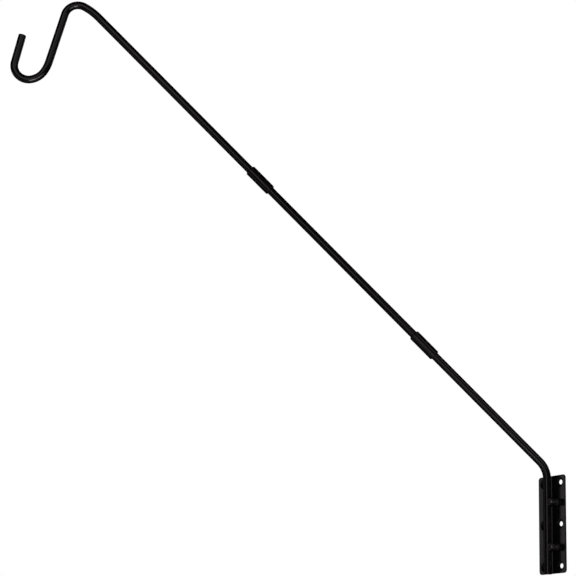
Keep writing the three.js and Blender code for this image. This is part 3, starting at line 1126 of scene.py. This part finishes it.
@dataclass(frozen=True)
class Strip:
    """A strip of steel bent in the level plane, with a flat round-ended tab that has a hole.

    Attributes:
        line: its middle line, from its free end to where the tab starts, heading along +X there.
        tab: from there to the hole's middle.
        plane: level plane through the strip's middle, its first direction +X.
        hole_radius: radius of the tab's hole.
        width, thickness: of the strip.
        edge_rounding: rounding of its edges and ends.
        rim_rounding: rounding of the hole's two rims.
        ring_room: least distance from the free end's rounding to the next ring.
        end_wear: wear of the free end's flat face.
        directions: rays from the hole's middle.
    """

    line: CentreLine
    tab: float
    plane: Plane
    hole_radius: float
    width: float = 11.0
    thickness: float = STRAP_THICKNESS
    edge_rounding: float = 0.35
    rim_rounding: float = 0.08
    ring_room: float = 0.05
    end_wear: float = 0.5
    directions: int = 64

    @property
    def side(self) -> float:
        """Half the width of the flat faces, inside the roundings."""
        return self.width / 2 - self.edge_rounding

    def tab_border(self) -> Arrays:
        """The tab's border inside its edge.

        To the front of the hole the border is the round end's circle, and behind it the nearer
        of the strip's side and the line where the tab starts.

        Returns:
            Ray angles from the hole's middle, and distances to the border.
        """
        corner = math.atan2(self.side, -self.tab)
        angle = np.concatenate([even_angles(self.directions) - math.pi, [-corner, corner]])
        angle = np.unique(angle.round(ANGLE_DIGITS))
        to_side = self.side / np.maximum(np.abs(np.sin(angle)), TINY)
        to_start = self.tab / np.maximum(-np.cos(angle), TINY)
        return angle, np.where(np.cos(angle) >= 0, self.side, np.minimum(to_side, to_start))

    def add_bend(self, shell: Shell, across: np.ndarray) -> None:
        """Adds the bent part.

        A rounded rectangle is carried along the line. At the free end it draws in along a
        quarter circle to the rectangle's core, and a flat face closes it.

        Args:
            shell: what it is added to.
            across: places across the strip of the columns of its two faces.
        """
        half, side, soft = self.thickness / 2, self.side, self.edge_rounding
        out, depth = edge_section(self.thickness, soft)
        left = np.concatenate([0 * across - half, depth - half, 0 * across + half, half - depth])
        wide = np.concatenate([across, side + out, across[::-1], -side - out])
        edge = np.tile(np.concatenate([0 * across, 0 * out + 1]), 2)
        core_left, core_wide = np.clip(left, soft - half, half - soft), np.clip(wide, -side, side)
        turn = np.linspace(0, QUARTER, 5)[:, None]
        marks = self.line.stations(straight_step=1.0, bend_step=3.0)[:, None]
        marks = marks[marks[:, 0] > soft + self.ring_room]
        grown = np.concatenate([np.sin(turn), 0 * marks + 1])
        points = self.plane.carried(
            self.line,
            np.concatenate([soft * (1 - np.cos(turn)), marks]),
            core_left + (left - core_left) * grown,
            core_wide + (wide - core_wide) * grown,
        )
        shell.grid(points, np.maximum(edge, np.concatenate([0 * turn + 1, 0 * marks])), around=True)
        core = np.array([[soft - half], [half - soft]])
        shell.grid(self.plane.carried(self.line, np.zeros((2, 1)), core, across), self.end_wear)

    def shell(self) -> Shell:
        """The strip's surface: the bent part, the tab as a pierced patch, and the tab's edge.

        Returns:
            The closed surface.
        """
        shell = Shell()
        angle, reach = self.tab_border()
        x, z = reach * np.cos(angle), reach * np.sin(angle)
        at_start = np.abs(x + self.tab) < NEAR
        self.add_bend(shell, np.unique(z[at_start].round(6)))

        rim = self.hole_radius + GUARD
        hole, hole_edge = rounded(
            [(rim, 0), (self.hole_radius, 0), (self.hole_radius, self.thickness), (rim, self.thickness)],
            [self.rim_rounding] * 2,
        )
        end_x, end_y = self.line.at(np.array(self.line.length))[0]
        middle, face = end_x + self.tab, end_y - self.thickness / 2
        radius, rows, wear = pierced(reach, hole, hole_edge)
        patch = self.plane.points(middle + radius * np.cos(angle), face + rows, radius * np.sin(angle))
        shell.grid(patch, wear, around=True)

        free = ~at_start | (np.abs(z) > self.side - NEAR)
        outline = np.stack([x[free], z[free]], axis=-1)
        out, depth = edge_section(self.thickness, self.edge_rounding)
        x, z = fringe(outline, outline - np.minimum(outline, 0) * (1, 0), out)
        shell.grid(self.plane.points(middle + x, face + depth, z), 1.0)
        return shell


@dataclass(frozen=True)
class Hexagon:
    """The outline of a nut or a socket, with its corners slightly rounded.

    Attributes:
        flats: width across the flats.
        face: radius of the round flat face that the turned-off corners leave.
        corner: direction of one corner, in degrees.
        power: how sharp the corners are.
        slope: fall of the turned-off corners.
        face_inset: width of the ring that starts the face, inside its rim.
        face_rounding: rounding of that rim.
        sector: directions of the columns in one sixth, in degrees from its corner.
        cone_shares: rows of the turned-off corners, as shares of the way to the outline.
        side_steps: the next rows, as steps down the flats.
        row_wear: wear of these five rows.
        corner_wear: what the corners add to it.
        corner_spread: degrees over which a corner's wear fades.
    """

    flats: float
    face: float = 0.0
    corner: float = 30.0
    power: float = 60.0
    slope: float = math.tan(math.radians(30))
    face_inset: float = 1.5
    face_rounding: float = 0.4
    sector: tuple[float, ...] = (-22, -15, -8, -3.4, -1.3, 0, 1.3, 3.4, 8, 15, 22, 30)
    cone_shares: Triple = (0.45, 0.88, 1.0)
    side_steps: Pair = (0.12, 0.5)
    row_wear: tuple[float, ...] = (0.2, 0.7, 1.0, 0.5, 0.0)
    corner_wear: tuple[float, ...] = (0.0, 0.5, 1.0, 1.0, 1.0)
    corner_spread: float = 2.5

    @property
    def angles(self) -> np.ndarray:
        """Directions for the columns of a grid, closer together at the corners."""
        return np.radians((self.corner + np.arange(6)[:, None] * 60 + self.sector).ravel())

    @property
    def radius(self) -> np.ndarray:
        """Distance to the outline: half the flats over the power mean of the three flats' cosines.

        Returns:
            One distance for each of the angles.
        """
        flats = np.radians(self.corner + 30 + np.arange(3) * 60)[:, None]
        cosines = np.abs(np.cos(self.angles - flats)) ** self.power
        return self.flats / 2 / cosines.sum(axis=0) ** (1 / self.power)

    @property
    def corners(self) -> np.ndarray:
        """1 at a corner, falling to 0 within some degrees of it."""
        off = (np.degrees(self.angles) - self.corner + 30) % 60 - 30
        return np.exp(-((off / self.corner_spread) ** 2))

    def crown(self) -> Rings:
        """The turned-off end of a hexagon, from inside its round face out and down to its side.

        Beyond the face's radius the surface falls as a cone, so that it meets the flats in
        curves. The last rows go on down the flats.

        Returns:
            Rings counted from the face.
        """
        bend, _ = rounded(
            [(0, self.face - self.face_inset), (0, self.face), (self.slope, self.face + 1)],
            [self.face_rounding],
        )
        bend = bend[:-2]
        share, step, wear, corner_wear = (
            np.array(rows)[:, None]
            for rows in (self.cone_shares, self.side_steps, self.row_wear, self.corner_wear)
        )
        cone = bend[-1, 1] + (self.radius - bend[-1, 1]) * share
        fall = (cone - self.face) * self.slope
        outer = Rings.of(
            np.concatenate([fall, fall[-1:] + step]),
            np.concatenate([cone, self.radius + 0 * step]),
            np.clip(wear + corner_wear * self.corners, 0, 1),
            0.0,
        )
        return Rings.joined(Rings.plain(bend), outer)


@dataclass(frozen=True)
class Clamp:
    """One clamp: a strap and a clip round the bar, and a bolt beside it with its washer and nut."""

    prefix: str
    height: float
    body: str = "bracket"
    grip: float = 10.0  # degrees that the strap's end curls past the bar's side
    ear_setback: float = 1.0  # the ear's rear face behind the bar's middle
    ear_fillet: float = 0.5
    clip_reach: float = 40.0  # degrees from the bar's front to the clip's end
    shank_gap: float = 0.75
    bolt_radius: float = 3.0
    bolt_length: float = 13.0
    bolt_chamfer: float = 0.6
    bolt_neck: float = 0.8  # plain shank behind the head
    neck_rounding: float = 0.25
    bolt_rounding: float = 0.15
    head_radius: float = 5.25
    head_height: float = 3.0
    head_rim: float = 0.6  # upright wall round the foot of the domed head
    head_face: float = 2.8  # radius of the dome's flat top
    socket_flats: float = 4.0
    socket_depth: float = 1.8
    socket_lead: float = 0.25
    drill_point: float = 0.35  # depth of the cone in the socket's floor
    floor_shares: Pair = (0.85, 0.97)  # rows of that floor, as shares of the socket's outline
    floor_rise: float = 0.1  # height of the rounding between floor and walls
    lip: Triple = (0.05, 0.06, 0.08)  # the socket's mouth: step in, step down, flat beside it
    lip_wear: Triple = (1.0, 1.0, 0.3)
    foot_wear: float = 0.6  # of the edge round the head's foot
    bore_wear: float = 0.5  # of the edge round the nut's bore
    nut_height: float = 4.0
    nut_sink: float = 0.4  # countersink of the nut's bore
    flats: float = 10.0
    face_share: float = 0.95  # the nut's round face, as a share of its flats
    washer_radius: float = 5.25
    washer_thickness: float = 1.0
    washer_roundings: tuple[float, ...] = (0.1, 0.35, 0.12, 0.1)  # front bore and rim, back rim and bore
    bore_rounding: float = 0.1
    thread: Thread = Thread(crest=3.0, depth=0.5, pitch=1.0)

    @property
    def nut_span(self) -> Pair:
        """Front and back of the nut along Y."""
        back = -(PLATE_THICKNESS + SEAT_GAP)
        return back - self.nut_height, back

    @property
    def tab_back(self) -> float:
        """Rear face of the clip's tab, from the bar's middle."""
        return self.ear_setback - STRAP_THICKNESS - SEAT_GAP

    @property
    def washer_span(self) -> Pair:
        """Front and back of the washer along Y."""
        back = BAR_Y + self.tab_back - STRAP_THICKNESS - SEAT_GAP
        return back - self.washer_thickness, back

    @property
    def head_span(self) -> Pair:
        """Front and back of the bolt's head along Y."""
        back = self.washer_span[0] - SEAT_GAP
        return back - self.head_height, back

    @property
    def bolt_x(self) -> float:
        """The bolt's place beside the bar: clear of the strap with its shank, nut and washer.

        Returns:
            Its X, in millimetres.
        """
        at_nut, at_washer = (
            math.sqrt(max(STRAP_OUTER**2 - (y - BAR_Y) ** 2, 0))
            for y in (self.nut_span[0], self.washer_span[1])
        )
        return max(
            STRAP_OUTER + self.bolt_radius + self.shank_gap,
            at_nut + self.flats / 2 + SEAT_GAP,
            at_washer + self.washer_radius + SEAT_GAP,
        )

    def wrapped(self, start: float, tab_y: float, way: int) -> Shell:
        """A strip bent round the bar, with a tab beside it for the bolt.

        From its free end the strip goes about the bar, and a small bend the other way brings it
        into the tab. With m and b the radii of the two bends' middle lines, it leaves the bar at
        the angle whose sine is (tab_y - way b) / (m + b).

        Args:
            start: angle of the free end about the bar, in degrees from +X.
            tab_y: middle of the tab's thickness, from the bar's middle.
            way: 1 if the angle grows from the free end on, or -1.

        Returns:
            The closed surface.
        """
        middle, bend = (STRAP_INNER + STRAP_OUTER) / 2, self.ear_fillet + STRAP_THICKNESS / 2
        first = math.radians(start)
        leave = math.asin((tab_y - way * bend) / (middle + bend))
        line = (
            CentreLine((middle * math.cos(first), middle * math.sin(first)), first + way * QUARTER)
            .bend(middle, math.degrees(leave - first))
            .bend(bend, -math.degrees(leave + way * QUARTER))
        )
        tab = self.bolt_x - (middle + bend) * math.cos(leave)
        level = Plane((0, BAR_Y, self.height), (1, 0, 0), (0, 1, 0))
        return Strip(line, tab, level, self.bolt_radius + CLEARANCE).shell()

    def strap(self) -> Shell:
        """From past the bar's left side round its rear to its right side, and out into the ear."""
        return self.wrapped(180 + self.grip, self.ear_setback - STRAP_THICKNESS / 2, -1)

    def clip(self) -> Shell:
        """A short lip on the bar's front shoulder that bends out into a tab on the ear."""
        return self.wrapped(self.clip_reach - 90, self.tab_back - STRAP_THICKNESS / 2, 1)

    def turned(self, rings: Rings, angle: np.ndarray, closed: bool = False) -> Shell:
        """The surface of rings about the bolt's axis.

        Args:
            rings: the rings, their distances being places along Y.
            angle: directions of the columns, from +X.
            closed: the last ring joins the first.

        Returns:
            The closed surface.
        """
        plane = Plane((self.bolt_x, 0, self.height), (0, 1, 0), (1, 0, 0))
        return rings.turned(plane, CentreLine((0, 0), 0).straight(1), self.thread, angle, closed=closed)

    def bolt(self) -> Shell:
        """Domed head with a hexagon socket, fully threaded shank and chamfered end, as one profile.

        From the flat face the dome is a quarter of an ellipse down to the rim. The socket's rows
        are wider or narrower with the hexagon's outline, and the shank's rows with the thread.

        Returns:
            The closed surface.
        """
        socket = Hexagon(self.socket_flats)
        front, back = self.head_span
        floor, lead = front + self.socket_depth, self.socket_lead
        hollow = [(floor + self.drill_point, 0), *((floor, share) for share in self.floor_shares)]
        hollow += [(floor - self.floor_rise, 1), (front + lead, 1)]
        mouth = socket.radius.max() + lead / 2
        step_in, step_down, flat = self.lip
        lip = [(front + step_down, mouth - step_in), (front, mouth), (front, mouth + flat)]
        turn, radius = np.linspace(0, QUARTER, 17), self.head_radius
        swell, drop = radius - self.head_face, self.head_height - self.head_rim
        dome = np.stack([front + drop * (1 - np.cos(turn)), self.head_face + swell * np.sin(turn)], axis=-1)
        crest, cut = self.thread.crest, self.bolt_chamfer
        neck, tip = back + self.bolt_neck, back + self.bolt_length
        foot, foot_edge = rounded(
            [(back - self.head_rim / 2, radius), (back, radius), (back, crest), (neck, crest)],
            [self.bolt_rounding, self.neck_rounding],
        )
        end, end_edge = rounded(
            [(tip - 2 * cut, crest), (tip - cut, crest), (tip, crest - cut), (tip, 0)],
            [self.bolt_rounding] * 2,
        )
        rings = Rings.joined(
            Rings.plain(np.array(hollow), 0.0, socket.radius),
            Rings.plain(np.array(lip), np.array(self.lip_wear)),
            Rings.plain(dome),
            Rings.plain(foot, self.foot_wear * foot_edge),
            Rings.threaded(self.thread, neck, tip - 2 * cut),
            Rings.plain(end, end_edge),
        )
        return self.turned(rings, socket.angles)

    def nut(self) -> Shell:
        """A hexagon turned off at both ends, with a threaded bore that is countersunk a little.

        Returns:
            The closed surface.
        """
        shape = Hexagon(self.flats, self.face_share * self.flats / 2)
        front, back = self.nut_span
        bore, cut = self.thread.crest + CLEARANCE, self.nut_sink
        profile, edge = rounded(
            [(2 * cut, bore), (cut, bore), (0, bore + cut), (0, bore + 2 * cut)], [self.bore_rounding] * 2
        )
        entry, crown = Rings.plain(profile, self.bore_wear * edge), shape.crown()
        rings = Rings.joined(
            entry.moved(front),
            crown.moved(front),
            crown.moved(back, -1),
            entry.moved(back, -1),
            Rings.threaded(self.thread, back - 2 * cut, front + 2 * cut, CLEARANCE),
        )
        return self.turned(rings, shape.angles, closed=True)

    def washer(self) -> Shell:
        """A flat ring, its front rim rolled over by the punch.

        Returns:
            The closed surface.
        """
        front, back = self.washer_span
        bore, radius, middle = self.bolt_radius + CLEARANCE, self.washer_radius, (front + back) / 2
        profile, edge = rounded(
            [(middle, bore), (front, bore), (front, radius), (back, radius), (back, bore), (middle, bore)],
            list(self.washer_roundings),
        )
        return self.turned(Rings.plain(profile[:-1], edge[:-1]), even_angles(72), closed=True)

    def build(self) -> list[bpy.types.Object]:
        """Makes and dresses the clamp's five pieces.

        Returns:
            The pieces.
        """
        parts = [
            (self.strap(), "strap", "back_strap", BRACKET_COAT),
            (self.clip(), "clip", "front_clip", BRACKET_COAT),
            (self.bolt(), "bolt", "clamp_bolt", BLACK_STEEL),
            (self.washer(), "washer", "clamp_washer", BLACK_STEEL),
            (self.nut(), "nut", "clamp_nut", BLACK_STEEL),
        ]
        return [
            dress(shell, f"{self.prefix}_{name}", f"{self.prefix}_{node}", self.body, finish)
            for shell, name, node, finish in parts
        ]


# ---------------------------------------------------------------------------- studio


@dataclass(frozen=True)
class Lamp:
    """A soft rectangular light, placed as the camera sees it from the middle of the object.

    Attributes:
        right, up, toward: metres to the picture's right, upwards, and towards the camera.
        width, height: of its face, in metres.
        power: in watts.
    """

    name: str
    right: float
    up: float
    toward: float
    width: float
    height: float
    power: float


@dataclass(frozen=True)
class Studio:
    """Camera, lights, floor and backdrop.

    Attributes:
        place: the camera's place, in millimetres.
        yaw, pitch, roll: its directions, in degrees.
        lens, sensor: its focal length and its sensor's width, in millimetres.
        clip: nearest and farthest metres that it sees.
        aim: the middle of the object, in metres, which the lamps face.
        surround: strength of the backdrop as the object reflects it.
        floor_level, floor_size: in millimetres.
        floor_colour, floor_roughness: of the floor.
        floor_glow: light that the floor adds where the camera sees it.
        tint: colour of the lamps.
        lamps: the lamps.
    """

    place: Triple = (2543.64, -2121.05, -365.91)
    yaw: float = 57.4563
    pitch: float = 12.6476
    roll: float = 0.9622
    lens: float = 131.69
    sensor: float = 36.0
    clip: Pair = (0.05, 60.0)
    aim: Triple = (-0.20, -0.35, 0.40)
    surround: float = 0.004
    floor_level: float = -1500.0
    floor_size: float = 50000.0
    floor_colour: float = 0.8
    floor_roughness: float = 0.9
    floor_glow: float = 1.0
    tint: Triple = (1.0, 0.935, 0.95)
    lamps: tuple[Lamp, ...] = (
        Lamp("low_lamp", 0.0, -1.0, 2.2, 0.8, 0.8, 13.5),
        Lamp("low_right_lamp", 1.3, -0.8, 2.6, 1.2, 1.2, 11.0),
        Lamp("high_left_lamp", -1.3, 1.9, 1.9, 1.2, 1.2, 2.8),
        Lamp("high_right_lamp", 1.9, 1.6, 1.8, 1.2, 1.2, 2.7),
        Lamp("front_lamp", -0.6, 0.5, 2.9, 1.2, 1.2, 2.7),
        Lamp("low_near_lamp", -0.2, -0.5, 0.9, 0.45, 0.45, 0.3),
        Lamp("upper_left_lamp", -1.0, 1.0, 2.2, 0.8, 0.8, 1.4),
        Lamp("high_near_lamp", -0.2, 1.0, 0.9, 0.45, 0.45, 0.33),
        Lamp("left_lamp", -2.7, -0.85, 1.1, 1.2, 1.2, 1.1),
        Lamp("wall_side_lamp", -2.85, 0.35, -0.85, 1.2, 1.2, 0.6),
        Lamp("plate_strip_lamp", -2.45, -0.25, -0.9, 0.5, 0.9, 0.5),
        Lamp("back_lamp", 2.4, 0.3, -1.8, 1.0, 1.4, 2.0),
    )

    def axes(self) -> tuple[Vector, Vector, Vector]:
        """The camera's right, up and forward directions, from its yaw, pitch and roll.

        Returns:
            Three unit vectors.
        """
        yaw, pitch, roll = (math.radians(value) for value in (self.yaw, self.pitch, self.roll))
        forward = Vector((-math.sin(yaw) * math.cos(pitch), math.cos(yaw) * math.cos(pitch), math.sin(pitch)))
        right = Vector((math.cos(yaw), math.sin(yaw), 0))
        up = right.cross(forward)
        return (
            math.cos(roll) * right + math.sin(roll) * up,
            math.cos(roll) * up - math.sin(roll) * right,
            forward,
        )

    def camera(self) -> None:
        """Makes the camera and sets it as the scene's."""
        data = bpy.data.cameras.new("camera")
        data.lens, data.sensor_width = self.lens, self.sensor
        data.clip_start, data.clip_end = self.clip
        thing = placed("camera", data)
        right, up, forward = self.axes()
        turned = Matrix((right, up, -forward)).transposed()
        thing.matrix_world = Matrix.Translation(Vector(self.place) * MILLIMETRE) @ turned.to_4x4()
        bpy.context.scene.camera = thing

    def light(self, lamp: Lamp) -> None:
        """Makes a lamp that faces the middle of the object and that the camera doesn't see.

        Args:
            lamp: which one.
        """
        data = bpy.data.lights.new(lamp.name, "AREA")
        data.shape, data.size, data.size_y = "RECTANGLE", lamp.width, lamp.height
        data.energy, data.color = lamp.power, self.tint
        thing = placed(lamp.name, data)
        thing.visible_camera = False
        right, up, forward = self.axes()
        offset = lamp.right * right + lamp.up * up - lamp.toward * forward
        thing.location = Vector(self.aim) + offset
        thing.rotation_mode = "QUATERNION"
        thing.rotation_quaternion = (-offset).to_track_quat("-Z", "Y")

    def floor(self) -> None:
        """A plain pale floor, far enough down to stay out of the photograph's view."""
        half, level = self.floor_size / 2 * MILLIMETRE, self.floor_level * MILLIMETRE
        corners = [(-half, -half, level), (half, -half, level), (half, half, level), (-half, half, level)]
        mesh = bpy.data.meshes.new("floor")
        mesh.from_pydata(corners, [], [(0, 1, 2, 3)])
        material = bpy.data.materials.new("floor")
        graph, grey = NodeGraph(material), (self.floor_colour,) * 3
        seen = graph.add("ShaderNodeLightPath").outputs["Is Camera Ray"]
        surface = {
            "Base Color": grey,
            "Roughness": self.floor_roughness,
            "Emission Color": grey,
            "Emission Strength": graph.compute("MULTIPLY", seen, self.floor_glow),
        }
        graph.finish("ShaderNodeBsdfPrincipled", surface)
        mesh.materials.append(material)
        thing = placed("floor", mesh)

    def backdrop(self) -> None:
        """White behind the object for the camera, and dim for everything that it reflects."""
        world = bpy.data.worlds.new("backdrop")
        bpy.context.scene.world = world
        graph, white = NodeGraph(world, "ShaderNodeOutputWorld"), (1.0, 1.0, 1.0)
        seen = graph.add("ShaderNodeLightPath").outputs["Is Camera Ray"]
        reflected, behind = (
            graph.add("ShaderNodeBackground", {"Color": white, "Strength": strength}).outputs[0]
            for strength in (self.surround, 1.0)
        )
        graph.finish("ShaderNodeMixShader", {0: seen, 1: reflected, 2: behind})

    def build(self) -> None:
        """Sets up everything round the object."""
        self.camera()
        for lamp in self.lamps:
            self.light(lamp)
        self.floor()
        self.backdrop()
        bpy.context.scene.view_settings.view_transform = "Standard"


def main() -> None:
    """Builds the object round the frame, and the studio."""
    logging.basicConfig(level=logging.INFO, format="%(name)s: %(message)s", stream=sys.stdout)
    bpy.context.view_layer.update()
    clamp_z = PLATE_HEIGHT / 2 - CLAMP_INSET
    for assembly in (MountingPlate(), Clamp("upper", clamp_z), Clamp("lower", -clamp_z), Arm()):
        for piece in assembly.build():
            log.info("%s rides on %s", piece.name, piece["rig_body"])
    Studio().build()


if __name__ == "__main__":
    main()
